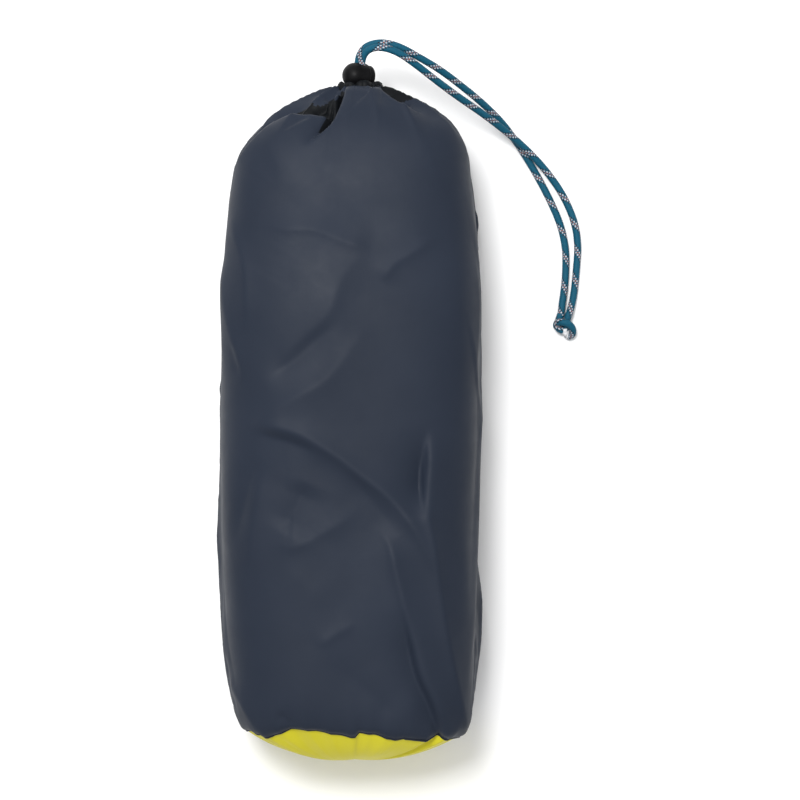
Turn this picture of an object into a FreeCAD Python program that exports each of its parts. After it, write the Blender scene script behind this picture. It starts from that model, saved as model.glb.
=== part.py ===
import FreeCAD, Part
import math
import os

# A packed drawstring stuff sack lying on its side, in millimetres.
# +Z is up, the floor is z = 0, +Y runs from the round base to the cinched mouth.
# The origin is the middle of the sack and its cord lock, on the floor.

V = FreeCAD.Vector
UP = V(0, 0, 1)
ALONG = V(0, 1, 0)

# Sack skin: one row per cross section, from base to mouth.
# Each row is y, centre x, half width, lowest z, highest z.
SKIN_STATIONS = [
    (-165.0, 1.4, 58.6, -3.0, 88.0),
    (-150.0, 1.0, 62.4, -3.0, 91.0),
    (-105.0, -0.6, 66.6, -3.0, 93.0),
    (-45.0, -0.9, 68.0, -3.0, 94.0),
    (15.0, -0.4, 68.6, -3.0, 94.0),
    (70.0, 0.2, 68.0, -3.0, 92.0),
    (110.0, 0.9, 65.2, -2.0, 87.0),
    (135.0, 2.2, 59.8, 3.0, 81.0),
    (150.0, 3.4, 50.8, 12.0, 74.0),
    (160.0, 4.2, 36.0, 22.0, 68.0),
    (166.0, 4.3, 21.5, 31.0, 61.0),
    (168.6, 4.3, 13.2, 33.0, 59.0),
]
SECTION_POWER = 2.4
SECTION_POINTS = 20
SKIN_THICKNESS = 0.8
FLOOR_REACH = 400.0

# Base panel: a shallow dome beyond the base seam, as y and fraction of the seam's section.
BASE_Y = SKIN_STATIONS[0][0]
BASE_DOME = [(-165.0, 1.0), (-171.0, 0.95), (-177.0, 0.83), (-181.5, 0.62), (-184.0, 0.36)]
DOME_CENTRE_Z = 44.0

# Seams stand a little proud of the skin.
BASE_SEAM_WIDTH = 4.0
BASE_SEAM_PROUD = 1.2
SIDE_SEAM_PROUD = 0.9
SIDE_SEAM_LOW = 12.0
SIDE_SEAM_HIGH = 21.0
SIDE_SEAM_START = -160.0
SIDE_SEAM_END = 138.0

# Contents stay clear of the skin, the panel and the hem.
CONTENTS_GAP = 1.2
CONTENTS_MOUTH_Y = 157.0

# Hem channel: the gathered casing round the neck, with the cord loop inside it.
NECK = V(4.3, 0.0, 46.0)
CHANNEL_BACK_Y = 161.0
CHANNEL_FRONT_Y = 172.4
CHANNEL_RADIUS = 12.0
CHANNEL_ROUND = 2.6
NECK_LOOP_RADIUS = 7.0
NECK_LOOP_CLEARANCE = 0.35
NECK_LOOP_Y = 164.6
LOCK_NEST_CLEARANCE = 0.6

# Cord.
CORD = 3.8
ARC_SHARE = 0.45

# Cord lock: a domed housing with a sprung plunger, its axis pointing right and down.
LOCK_CENTRE = V(2.2, 176.3, 50.5)
LOCK_TILT = math.radians(60.0)
LOCK_AXIS = V(math.sin(LOCK_TILT), 0, -math.cos(LOCK_TILT))
LOCK_ACROSS = V(math.cos(LOCK_TILT), 0, math.sin(LOCK_TILT))
HOUSING_RADIUS = 6.8
HOUSING_RIM = 6.4
HOUSING_RIM_RADIUS = 6.45
CAVITY_RADIUS = 5.7
CAVITY_FLOOR = -5.6
CAVITY_FLOOR_RADIUS = 2.6
PLUNGER_CLEARANCE = 0.08
PLUNGER_INNER = -1.3
PLUNGER_END = 10.1
PLUNGER_ROUND = 1.5
PLUNGER_CROWN = 0.35
PLUNGER_TRAVEL = 2.0
CORD_DEPTH = 3.0
STRAND_PITCH = 3.9
SLOT_CLEARANCE = 0.3
SPRING_WIRE = 0.5
SPRING_RADIUS = 2.0
SPRING_TURNS = 3.5
SPRING_STEPS_PER_TURN = 10

# Eyelet in the hem's front face, round both strands.
EYELET_RIM = 1.1
EYELET_FRONT_Y = 168.9

# Free cord: where each strand starts, inside the hem channel, and its route to the knot.
STRAND_START_Y = 165.5
FLOOR_LINE = 1.95
LEFT_ROUTE = [
    (3.5, 186.2, 47.4),
    (7.4, 192.0, 49.6),
    (16.4, 194.0, 52.0),
    (26.2, 191.4, 51.4),
    (35.6, 186.3, 48.2),
    (46.6, 180.6, 41.2),
    (58.2, 172.8, 31.4),
    (70.0, 164.2, 20.6),
    (81.0, 154.4, 10.4),
    (90.0, 142.6, 3.2),
    (98.2, 129.6, FLOOR_LINE),
    (105.9, 115.3, FLOOR_LINE),
    (112.2, 101.2, FLOOR_LINE),
    (115.2, 88.4, FLOOR_LINE),
    (115.4, 76.6, FLOOR_LINE),
    (114.5, 65.0, 2.2),
    (112.9, 55.4, 3.4),
    (112.5, 50.6, 4.6),
]
RIGHT_ROUTE = [
    (5.7, 185.2, 51.0),
    (8.9, 190.0, 53.2),
    (16.0, 191.0, 55.6),
    (24.4, 188.5, 55.2),
    (33.6, 182.6, 51.6),
    (45.4, 173.9, 44.4),
    (57.2, 166.0, 35.4),
    (69.8, 158.4, 25.4),
    (81.6, 150.3, 15.8),
    (93.8, 140.6, 7.2),
    (105.2, 128.8, 2.6),
    (114.4, 115.4, FLOOR_LINE),
    (120.4, 101.0, FLOOR_LINE),
    (122.0, 88.0, FLOOR_LINE),
    (121.0, 76.0, FLOOR_LINE),
    (120.0, 64.6, 2.2),
    (118.2, 55.6, 3.4),
    (116.8, 51.0, 4.6),
]

# Knot in the doubled cord, and its two cut ends.
KNOT_CENTRE = V(114.7, 45.4, 5.3)
KNOT_RADII = (5.8, 5.8, 5.2)
CORD_ENDS = {
    "cord_end_left": (V(113.0, 42.0, 5.0), V(112.8, 37.6, 3.6)),
    "cord_end_right": (V(116.9, 42.0, 4.6), V(117.4, 38.2, 3.0)),
}


def section_wire(y, centre_x, half_width, low, high):
    """A closed, rounded section across the sack."""
    centre_z = 0.5 * (low + high)
    half_height = 0.5 * (high - low)
    points = []
    for i in range(SECTION_POINTS):
        angle = 2 * math.pi * i / SECTION_POINTS
        c = math.cos(angle)
        s = math.sin(angle)
        x = centre_x + half_width * math.copysign(abs(c) ** (2 / SECTION_POWER), c)
        z = centre_z + half_height * math.copysign(abs(s) ** (2 / SECTION_POWER), s)
        points.append(V(x, y, z))
    curve = Part.BSplineCurve()
    curve.interpolate(points, PeriodicFlag=True)
    return Part.Wire([curve.toShape()])


def above_floor(shape, height=0.0):
    """The part of a shape that is above a height."""
    side = 2 * FLOOR_REACH
    block = Part.makeBox(side, side, side, V(-FLOOR_REACH, -FLOOR_REACH, height))
    return shape.common(block)


def between(shape, y_low, y_high):
    """The part of a shape between two planes across the sack."""
    side = 2 * FLOOR_REACH
    block = Part.makeBox(side, y_high - y_low, side, V(-FLOOR_REACH, y_low, -FLOOR_REACH))
    return shape.common(block)


def skin_loft(offset):
    """The sack's body as one closed solid, grown or shrunk by an offset."""
    wires = [
        section_wire(y, x, half + offset, low - offset, high + offset)
        for y, x, half, low, high in SKIN_STATIONS
    ]
    return Part.makeLoft(wires, True, False)


def base_loft(offset):
    """The base panel's dome as one closed solid, grown or shrunk by an offset."""
    _, centre_x, half_width, low, high = SKIN_STATIONS[0]
    wires = []
    for y, share in BASE_DOME:
        wires.append(section_wire(
            y - offset * (1 - share),
            centre_x,
            share * half_width + offset,
            DOME_CENTRE_Z + share * (low - DOME_CENTRE_Z) - offset,
            DOME_CENTRE_Z + share * (high - DOME_CENTRE_Z) + offset,
        ))
    return Part.makeLoft(wires, True, False)


def sack_body():
    """The fabric tube, open at both ends."""
    outer = above_floor(skin_loft(0.0))
    inner = above_floor(skin_loft(-SKIN_THICKNESS), SKIN_THICKNESS)
    return outer.cut(inner)


def base_panel():
    """The domed panel that closes the tube, one skin thick."""
    outer = above_floor(base_loft(0.0))
    inner = above_floor(base_loft(-SKIN_THICKNESS), SKIN_THICKNESS)
    return outer.cut(inner)


def base_seam():
    """The bound seam where the tube meets the base panel, above the floor."""
    back = BASE_Y - 0.5 * BASE_SEAM_WIDTH
    front = BASE_Y + 0.5 * BASE_SEAM_WIDTH
    tube_side = between(skin_loft(BASE_SEAM_PROUD).cut(skin_loft(0.0)), BASE_Y, front)
    panel_side = between(base_loft(BASE_SEAM_PROUD).cut(base_loft(0.0)), back, BASE_Y)
    return above_floor(tube_side.fuse(panel_side).removeSplitter())


def side_seam():
    """The felled seam along the sack's left flank, low down."""
    band = skin_loft(SIDE_SEAM_PROUD).cut(skin_loft(0.0))
    length = SIDE_SEAM_END - SIDE_SEAM_START
    height = SIDE_SEAM_HIGH - SIDE_SEAM_LOW
    strip = Part.makeBox(FLOOR_REACH, length, height, V(-FLOOR_REACH, SIDE_SEAM_START, SIDE_SEAM_LOW))
    return band.common(strip)


def packed_contents():
    """The load inside: one rounded bundle clear of the skin."""
    gap = SKIN_THICKNESS + CONTENTS_GAP
    tube = between(skin_loft(-gap), BASE_Y, CONTENTS_MOUTH_Y)
    bundle = tube.fuse(base_loft(-gap)).removeSplitter()
    return above_floor(bundle, gap)


def neck_ring(radius, section_radius, y):
    """A ring of round section about the neck's axis."""
    return Part.makeTorus(radius, section_radius, V(NECK.x, y, NECK.z), ALONG)


def strand_line(side):
    """Where a strand passes through the lock: -1 is the lower one, 1 the upper one."""
    centre = LOCK_CENTRE + LOCK_AXIS * CORD_DEPTH
    return centre + LOCK_ACROSS * (side * 0.5 * STRAND_PITCH)


def strand_slot(length, start_y, clearance, stretch=0.0):
    """A slot round both strands along Y, stretched along the lock's axis."""
    radius = 0.5 * CORD + clearance
    low = strand_line(-1)
    high = strand_line(1)
    far = LOCK_AXIS * stretch
    corners = [low, high, high + far, low + far]
    slot = None
    for corner in corners:
        round_end = Part.makeCylinder(radius, length, V(corner.x, start_y, corner.z), ALONG)
        slot = round_end if slot is None else slot.fuse(round_end)
    slot = slot.fuse(slot_block(low, high, radius, 0.0, stretch, start_y, length))
    if stretch > 0:
        slot = slot.fuse(slot_block(low, high, 0.0, radius, stretch, start_y, length))
    return slot.removeSplitter()


def slot_block(low, high, depth, reach, stretch, start_y, length):
    """The slot's straight core, grown by depth along the lock or by reach across it."""
    first = low - LOCK_AXIS * depth - LOCK_ACROSS * reach
    second = high - LOCK_AXIS * depth + LOCK_ACROSS * reach
    far = LOCK_AXIS * (stretch + 2 * depth)
    corners = [first, second, second + far, first + far, first]
    face = Part.Face(Part.makePolygon([V(p.x, start_y, p.z) for p in corners]))
    return face.extrude(ALONG * length)


def hem_channel():
    """The gathered casing, with a tunnel for the cord loop and a way out for the strands."""
    depth = CHANNEL_FRONT_Y - CHANNEL_BACK_Y
    block = Part.makeCylinder(CHANNEL_RADIUS, depth, V(NECK.x, CHANNEL_BACK_Y, NECK.z), ALONG)
    block = block.makeFillet(CHANNEL_ROUND, block.Edges)
    tunnel = neck_ring(NECK_LOOP_RADIUS, 0.5 * CORD + NECK_LOOP_CLEARANCE, NECK_LOOP_Y)
    eyelet_seat = strand_slot(depth, STRAND_START_Y, SLOT_CLEARANCE + EYELET_RIM)
    return block.cut(tunnel).cut(eyelet_seat).cut(lock_nest())


def lock_nest():
    """The hollow in the gathers that the lock sits against."""
    radius = HOUSING_RADIUS + LOCK_NEST_CLEARANCE
    ball = Part.makeSphere(radius, LOCK_CENTRE)
    barrel = Part.makeCylinder(radius, PLUNGER_END + LOCK_NEST_CLEARANCE, LOCK_CENTRE, LOCK_AXIS)
    return ball.fuse(barrel)


def drawcord_neck_loop(left, right):
    """The cord inside the hem, where it meets the two strands at the eyelet."""
    loop = neck_ring(NECK_LOOP_RADIUS, 0.5 * CORD, NECK_LOOP_Y)
    return loop.cut(left).cut(right).cut(mouth_eyelet())


def mouth_eyelet():
    """The reinforced slot in the hem that the strands leave by."""
    length = EYELET_FRONT_Y - STRAND_START_Y
    outer = strand_slot(length, STRAND_START_Y, SLOT_CLEARANCE + EYELET_RIM)
    hole = strand_slot(length + 2.0, STRAND_START_Y - 1.0, SLOT_CLEARANCE)
    return outer.cut(hole)


def revolved(profile_edges):
    """A solid turned about the lock's axis from edges in its radius and depth plane."""
    face = Part.Face(Part.Wire(profile_edges))
    solid = face.revolve(V(0, 0, 0), UP, 360)
    turn = FreeCAD.Rotation(UP, LOCK_AXIS)
    solid.Placement = FreeCAD.Placement(LOCK_CENTRE, turn)
    return solid


def chain(points):
    """Straight edges through points, in order."""
    return [Part.makeLine(a, b) for a, b in zip(points, points[1:])]


def arc(start, middle, end):
    """One arc edge through three points."""
    return Part.Arc(start, middle, end).toShape()


def lock_housing():
    """The domed outer half of the lock, with its cavity and cord slot."""
    waist = 1.0
    rim_round = 0.4
    dome = arc(
        V(0, 0, -HOUSING_RADIUS),
        V(HOUSING_RADIUS * math.sin(math.pi / 4), 0, -HOUSING_RADIUS * math.cos(math.pi / 4)),
        V(HOUSING_RADIUS, 0, 0),
    )
    outline = chain([
        V(HOUSING_RADIUS, 0, 0),
        V(HOUSING_RADIUS, 0, waist),
        V(HOUSING_RIM_RADIUS, 0, HOUSING_RIM - rim_round),
        V(HOUSING_RIM_RADIUS - rim_round, 0, HOUSING_RIM),
        V(CAVITY_RADIUS, 0, HOUSING_RIM),
        V(CAVITY_RADIUS, 0, -PLUNGER_TRAVEL),
        V(4.9, 0, -3.4),
        V(CAVITY_FLOOR_RADIUS, 0, CAVITY_FLOOR),
        V(0, 0, CAVITY_FLOOR),
        V(0, 0, -HOUSING_RADIUS),
    ])
    slot = strand_slot(4 * HOUSING_RADIUS, LOCK_CENTRE.y - 2 * HOUSING_RADIUS, SLOT_CLEARANCE)
    return revolved([dome] + outline).cut(slot)


def lock_plunger():
    """The sprung inner half, with a slot long enough to free the cord when pressed."""
    radius = CAVITY_RADIUS - PLUNGER_CLEARANCE
    shoulder = radius - 1.2
    crown = PLUNGER_END - PLUNGER_CROWN
    bend = PLUNGER_ROUND * math.sin(math.pi / 4)
    outline = chain([
        V(0, 0, PLUNGER_INNER),
        V(shoulder, 0, PLUNGER_INNER),
        V(radius, 0, 0),
        V(radius, 0, crown - PLUNGER_ROUND),
    ])
    edge_round = arc(
        V(radius, 0, crown - PLUNGER_ROUND),
        V(radius - PLUNGER_ROUND + bend, 0, crown - PLUNGER_ROUND + bend),
        V(radius - PLUNGER_ROUND, 0, crown),
    )
    flat = radius - PLUNGER_ROUND
    crown_radius = (flat ** 2 + PLUNGER_CROWN ** 2) / (2 * PLUNGER_CROWN)
    crown_base = PLUNGER_END - crown_radius
    halfway = crown_base + math.sqrt(crown_radius ** 2 - (0.5 * flat) ** 2)
    crown_arc = arc(V(flat, 0, crown), V(0.5 * flat, 0, halfway), V(0, 0, PLUNGER_END))
    core = Part.makeLine(V(0, 0, PLUNGER_END), V(0, 0, PLUNGER_INNER))
    slot = strand_slot(
        4 * HOUSING_RADIUS,
        LOCK_CENTRE.y - 2 * HOUSING_RADIUS,
        SLOT_CLEARANCE,
        PLUNGER_TRAVEL,
    )
    return revolved(outline + [edge_round, crown_arc, core]).cut(slot)


def lock_spring():
    """The coil between the housing's floor and the plunger."""
    low = CAVITY_FLOOR + SPRING_WIRE
    high = PLUNGER_INNER - SPRING_WIRE
    steps = int(SPRING_TURNS * SPRING_STEPS_PER_TURN)
    points = []
    for i in range(steps + 1):
        angle = 2 * math.pi * i / SPRING_STEPS_PER_TURN
        height = low + (high - low) * i / steps
        points.append(V(SPRING_RADIUS * math.cos(angle), SPRING_RADIUS * math.sin(angle), height))
    coil = tube_along(path_edges(points)[0], points, SPRING_WIRE)
    coil.Placement = FreeCAD.Placement(LOCK_CENTRE, FreeCAD.Rotation(UP, LOCK_AXIS))
    return coil


def path_edges(points):
    """Straight runs joined by the largest tangent arcs that fit, and the arcs' radii."""
    edges = []
    radii = []
    start = points[0]
    for before, corner, after in zip(points, points[1:], points[2:]):
        back = (before - corner).normalize()
        onward = (after - corner).normalize()
        turn = math.pi - back.getAngle(onward)
        trim = ARC_SHARE * min((before - corner).Length, (after - corner).Length)
        radius = trim / math.tan(0.5 * turn)
        arc_start = corner + back * trim
        arc_end = corner + onward * trim
        inward = (back + onward).normalize()
        depth = radius / math.cos(0.5 * turn) - radius
        edges.append(Part.makeLine(start, arc_start))
        edges.append(arc(arc_start, corner + inward * depth, arc_end))
        radii.append(round(radius, 1))
        start = arc_end
    edges.append(Part.makeLine(start, points[-1]))
    return edges, radii


def tube_along(edges, points, diameter):
    """A round tube swept along joined edges that start at the first point."""
    direction = points[1] - points[0]
    section = Part.Wire([Part.makeCircle(0.5 * diameter, points[0], direction)])
    return Part.Wire(edges).makePipeShell([section], True, False)


def cord_tube(points, name):
    """A cord's plain tube along its route, with its radii, length and volume printed."""
    edges, radii = path_edges(points)
    tube = tube_along(edges, points, CORD)
    length = sum(edge.Length for edge in edges)
    ideal = math.pi * (0.5 * CORD) ** 2 * length
    print(name, "arc radii", radii)
    print(name, "length", round(length, 1), "volume", round(tube.Volume, 1), "ideal", round(ideal, 1))
    return tube


def free_strand(side, route, name):
    """One strand, straight through the lock and then along its route to the knot."""
    line = strand_line(side)
    start = V(line.x, STRAND_START_Y, line.z)
    mouth = V(line.x, route[0][1], line.z)
    return cord_tube([start, mouth] + [V(*point) for point in route[1:]], name)


def tail_knot():
    """The overhand knot's outer shape."""
    ball = Part.makeSphere(1.0)
    stretch = FreeCAD.Matrix()
    stretch.scale(*KNOT_RADII)
    stretch.move(KNOT_CENTRE)
    return ball.transformGeometry(stretch)


def cord_end(start, end):
    """A short cut end that sticks out of the knot."""
    direction = end - start
    return Part.makeCylinder(0.5 * CORD, direction.Length, start, direction)


def build():
    """Every piece, by the name of its node."""
    knot = tail_knot()
    left = free_strand(-1, LEFT_ROUTE, "drawcord_strand_left")
    right = free_strand(1, RIGHT_ROUTE, "drawcord_strand_right")
    nodes = {
        "sack_body": sack_body(),
        "side_seam": side_seam(),
        "base_panel": base_panel(),
        "base_seam": base_seam(),
        "packed_contents": packed_contents(),
        "hem_channel": hem_channel(),
        "mouth_eyelet": mouth_eyelet(),
        "drawcord_neck_loop": drawcord_neck_loop(left, right),
        "drawcord_strand_left": left.cut(knot),
        "drawcord_strand_right": right.cut(knot),
        "tail_knot": knot,
        "lock_housing": lock_housing(),
        "lock_plunger": lock_plunger(),
        "lock_spring": lock_spring(),
    }
    for name, (start, end) in CORD_ENDS.items():
        nodes[name] = cord_end(start, end).cut(knot)
    return nodes


os.makedirs("parts", exist_ok=True)
for node, shape in build().items():
    box = shape.BoundBox
    print(
        f"{node:24s} solids {len(shape.Solids)} valid {shape.isValid()} volume {shape.Volume:10.1f}"
        f"  x {box.XMin:.1f} {box.XMax:.1f}  y {box.YMin:.1f} {box.YMax:.1f}  z {box.ZMin:.1f} {box.ZMax:.1f}"
    )
    shape.exportStep(f"parts/{node}.step")
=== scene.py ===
import math

import bmesh
import bpy
import numpy as np
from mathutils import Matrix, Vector


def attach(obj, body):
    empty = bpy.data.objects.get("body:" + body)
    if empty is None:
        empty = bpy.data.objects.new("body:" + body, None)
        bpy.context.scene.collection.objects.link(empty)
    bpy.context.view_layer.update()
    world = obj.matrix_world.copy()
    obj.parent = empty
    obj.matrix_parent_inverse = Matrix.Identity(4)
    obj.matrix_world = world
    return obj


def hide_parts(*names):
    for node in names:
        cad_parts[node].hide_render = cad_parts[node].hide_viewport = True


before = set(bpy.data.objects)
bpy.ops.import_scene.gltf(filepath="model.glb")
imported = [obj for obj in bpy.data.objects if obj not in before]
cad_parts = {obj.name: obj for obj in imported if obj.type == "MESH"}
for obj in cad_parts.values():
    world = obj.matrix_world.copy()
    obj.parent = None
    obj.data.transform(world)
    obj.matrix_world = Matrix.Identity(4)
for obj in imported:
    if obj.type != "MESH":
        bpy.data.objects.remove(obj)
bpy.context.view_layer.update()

# A packed drawstring stuff sack on a pale floor. Lengths are in millimetres until a mesh is made.
MM = 0.001
SEED = 11

# Camera: straight above the sack, far away.
CAMERA_HEIGHT = 2.0
CAMERA_X = 0.02587
CAMERA_Y = 0.00554
VIEW_WIDTH = 0.432
SENSOR_MM = 36.0

# Sack skin, from the base seam to the neck: y, left, right, lowest and highest of each section.
SKIN = [
    (-167.0, -56.0, 58.6, 2.0, 84.5),
    (-163.0, -58.8, 61.4, 0.0, 88.0),
    (-150.0, -62.2, 64.2, -1.0, 91.0),
    (-125.0, -65.2, 66.0, -1.5, 92.5),
    (-85.0, -67.8, 66.4, -1.5, 93.5),
    (-40.0, -68.9, 67.0, -1.5, 94.0),
    (10.0, -69.0, 68.2, -1.5, 94.0),
    (60.0, -68.4, 68.6, -1.5, 93.0),
    (95.0, -66.2, 67.2, -1.0, 90.5),
    (120.0, -63.4, 64.6, 0.0, 87.5),
    (134.0, -60.4, 62.8, 3.0, 85.0),
    (143.0, -54.6, 60.0, 7.0, 82.5),
    (150.0, -47.6, 54.6, 12.0, 79.5),
    (157.0, -37.0, 44.6, 19.0, 75.0),
    (162.5, -26.0, 34.4, 26.0, 70.0),
    (166.4, -17.5, 25.6, 31.0, 66.0),
    (168.6, -10.8, 18.8, 34.0, 61.5),
    (169.0, -7.6, 15.6, 35.5, 58.0),
]
# Where the skin starts in y, the size of its grid, how square its sections are, and its lowest height.
SEAM_Y = -167.0
SKIN_ROWS = 300
SKIN_COLUMNS = 300
SECTION_POWER = 3.0
SKIN_FLOOR = 0.4
# Middle of the neck and of the hem.
NECK_X = 4.3
NECK_Z = 46.0
HEM_X = 5.0

# Base seam: the edge of the slate cloth over the base panel, seen from above, as x and y.
SEAM_EDGE = [
    (-57.5, -166.4), (-56.0, -168.4), (-52.6, -167.6), (-46.4, -167.8), (-43.6, -170.4),
    (-36.7, -168.0), (-30.8, -165.4), (-17.6, -166.2), (-8.3, -168.0), (2.6, -170.1),
    (4.2, -167.6), (12.9, -168.5), (23.8, -171.9), (27.9, -170.9), (33.7, -172.8),
    (40.5, -174.0), (46.8, -172.6), (52.1, -171.1), (59.1, -170.4),
]
# Base panel: its farthest point, and how square the dome's profile is.
BASE_POLE = (1.0, -184.0, 44.0)
BASE_POWER = 2.6
BASE_ROWS = 60

# Sewing: the skin's cloth, its stitches, the binding in the base seam, and the felled side seam, whose
# place is a share of the way round the skin and whose ends are a row and a share of the rows.
CLOTH_THICKNESS = 0.35
STITCH_PITCH = 2.9
STITCH_LENGTH = 2.1
STITCH_RADIUS = 0.16
BINDING_RADIUS = 0.62
SIDE_SEAM_PLACE = 0.865
SIDE_SEAM_COLUMNS = 8
SIDE_SEAM_ROWS = (4, 0.86)

# Gathers: count and depth of the tucks along the base seam, and of the pleats that start short of the neck.
BASE_TUCKS = 26
TUCK_DEPTH = 0.35
NECK_PLEATS = 15
PLEAT_DEPTH = 1.7
PLEATS_START_Y = 138

# How far inside the skin the packed load lies.
LOAD_GAP = 9.0

# Cord: its diameter, how far apart a strand's points are, and the height of its middle on the floor.
CORD = 3.8
CORD_STEP = 0.24
FLOOR_LINE = 1.95
# The strands' routes: straight out of the lock, then down to the floor and the knot.
LEFT_ROUTE = [
    (3.82, 165.5, 47.31),
    (3.82, 180.2, 47.31),
    (3.82, 186.2, 47.31),
    (7.4, 192.0, 49.6),
    (16.4, 194.0, 52.0),
    (26.2, 191.4, 51.4),
    (35.6, 186.3, 48.2),
    (46.6, 180.6, 41.2),
    (58.2, 172.8, 31.4),
    (70.0, 164.2, 20.6),
    (81.0, 154.4, 10.4),
    (90.0, 142.6, 3.2),
    (98.2, 129.6, FLOOR_LINE),
    (105.9, 115.3, FLOOR_LINE),
    (112.2, 101.2, FLOOR_LINE),
    (115.2, 88.4, FLOOR_LINE),
    (115.4, 76.6, FLOOR_LINE),
    (114.5, 65.0, 2.2),
    (112.9, 55.4, 3.4),
    (112.5, 50.6, 4.6),
]
RIGHT_ROUTE = [
    (5.77, 165.5, 50.69),
    (5.77, 179.2, 50.69),
    (5.77, 185.2, 50.69),
    (8.9, 190.0, 53.2),
    (16.0, 191.0, 55.6),
    (24.4, 188.5, 55.2),
    (33.6, 182.6, 51.6),
    (45.4, 173.9, 44.4),
    (57.2, 166.0, 35.4),
    (69.8, 158.4, 25.4),
    (81.6, 150.3, 15.8),
    (93.8, 140.6, 7.2),
    (105.2, 128.8, 2.6),
    (114.4, 115.4, FLOOR_LINE),
    (120.4, 101.0, FLOOR_LINE),
    (122.0, 88.0, FLOOR_LINE),
    (121.0, 76.0, FLOOR_LINE),
    (120.0, 64.6, 2.2),
    (118.2, 55.6, 3.4),
    (116.8, 51.0, 4.6),
]
# Limbs of the knot: the band across its front, then what becomes of each strand. The phases turn their
# braids, so that the tracers show where they should.
KNOT_LIMBS = [
    [(112.2, 43.8, 2.4), (110.3, 45.4, 3.2), (110.8, 47.2, 6.0), (113.2, 47.3, 8.2), (116.2, 46.6, 8.3),
     (118.5, 44.4, 6.8), (118.9, 41.6, 4.4), (117.4, 40.0, 2.6), (115.6, 41.0, 2.1)],
    [(112.5, 51.8, 4.5), (111.6, 49.6, 4.6), (110.8, 47.0, 4.1), (110.7, 45.1, 4.3), (111.9, 43.6, 4.6),
     (113.6, 43.1, 4.4)],
    [(116.9, 52.2, 4.5), (116.1, 49.4, 4.8), (115.2, 46.8, 4.4), (115.0, 44.6, 4.0), (115.6, 43.0, 3.6)],
]
KNOT_PHASES = [1.4, -0.3, 7.6]
# Cut ends: how many loose fibres each has, how thick these are and how thick the bundle is.
FRAYED_FIBRES = 110
FIBRE_RADIUS = 0.2
CORE_RADIUS = 1.25

# Cord lock, as the CAD has it, for the hollow that it leaves in the gathers.
LOCK_CENTRE = np.array([2.2, 176.3, 50.5])
LOCK_AXIS = np.array([math.sin(math.radians(60)), 0.0, -math.cos(math.radians(60))])
LOCK_NEST_RADIUS = 7.4
LOCK_LENGTH = 10.6


# ---------------------------------------------------------------- helpers

def smooth_step(x):
    """0 below 0, 1 above 1, and smooth between."""
    x = np.clip(x, 0.0, 1.0)
    return x * x * (3.0 - 2.0 * x)


def curve_through(points, places):
    """The smooth curve through points, at places counted in points."""
    points = np.asarray(points, float)
    last = len(points) - 1
    places = np.clip(np.asarray(places, float), 0.0, last)
    i = np.minimum(places.astype(int), last - 1)
    f = (places - i).reshape((-1,) + (1,) * (points.ndim - 1))
    before = points[np.maximum(i - 1, 0)]
    here = points[i]
    after = points[i + 1]
    beyond = points[np.minimum(i + 2, last)]
    bend = 2.0 * before - 5.0 * here + 4.0 * after - beyond
    twist = 3.0 * here - before - 3.0 * after + beyond
    return here + 0.5 * f * (after - before + f * (bend + f * twist))


def evenly(points, count, measure=slice(None)):
    """The smooth curve through points, at evenly spaced places by the measured columns."""
    dense = curve_through(points, np.linspace(0, len(points) - 1, 40 * len(points)))
    steps = np.linalg.norm(np.diff(dense[:, measure], axis=0), axis=1)
    travelled = np.concatenate([[0.0], np.cumsum(steps)])
    wanted = np.linspace(0.0, travelled[-1], count)
    return np.stack([np.interp(wanted, travelled, column) for column in dense.T], axis=1)


def unit(vectors):
    """Vectors of length 1."""
    lengths = np.linalg.norm(vectors, axis=-1, keepdims=True)
    return vectors / np.maximum(lengths, 1e-9)


def grid_normals(points):
    """Outward normals of a grid whose columns run round and close."""
    around = np.roll(points, -1, axis=1) - np.roll(points, 1, axis=1)
    along = np.gradient(points, axis=0)
    return unit(np.cross(along, around))


def mesh_piece(name, vertices, faces, material, smooth=True):
    """A new mesh object from points in millimetres."""
    mesh = bpy.data.meshes.new(name)
    mesh.from_pydata([tuple(v) for v in np.asarray(vertices) * MM], [], faces)
    mesh.polygons.foreach_set("use_smooth", [smooth] * len(mesh.polygons))
    mesh.materials.append(material)
    mesh.update()
    piece = bpy.data.objects.new(name, mesh)
    bpy.context.scene.collection.objects.link(piece)
    return piece


def grid_faces(rows, columns, closed, flip=False):
    """Quads of a grid, row by row."""
    across = columns if closed else columns - 1
    row = np.repeat(np.arange(rows - 1), across)
    column = np.tile(np.arange(across), rows - 1)
    onward = (column + 1) % columns
    a = row * columns + column
    b = row * columns + onward
    c = (row + 1) * columns + onward
    d = (row + 1) * columns + column
    order = (a, d, c, b) if flip else (a, b, c, d)
    return np.stack(order, axis=1).tolist()


def grid_piece(name, points, material, closed=True, flip=False):
    """A smooth grid of quads, with a UV map in metres."""
    rows, columns, _ = points.shape
    piece = mesh_piece(name, points.reshape(-1, 3), grid_faces(rows, columns, closed, flip), material)
    middle = points[rows // 2]
    around = np.linalg.norm(np.diff(np.vstack([middle, middle[:1]]), axis=0), axis=1)
    u = np.concatenate([[0.0], np.cumsum(around)]) * MM
    v = np.concatenate([[0.0], np.cumsum(np.linalg.norm(np.diff(points[:, 0], axis=0), axis=1))]) * MM
    loops = np.empty(len(piece.data.loops), int)
    piece.data.loops.foreach_get("vertex_index", loops)
    column = loops % columns
    row = loops // columns
    if closed:
        face_low = np.repeat(column.reshape(-1, 4).min(axis=1), 4)
        face_high = np.repeat(column.reshape(-1, 4).max(axis=1), 4)
        seam = (face_low == 0) & (face_high == columns - 1) & (column == 0)
        column = np.where(seam, columns, column)
    layer = piece.data.uv_layers.new(name="cloth")
    layer.data.foreach_set("uv", np.stack([u[column], v[row]], axis=1).ravel())
    return piece


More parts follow.
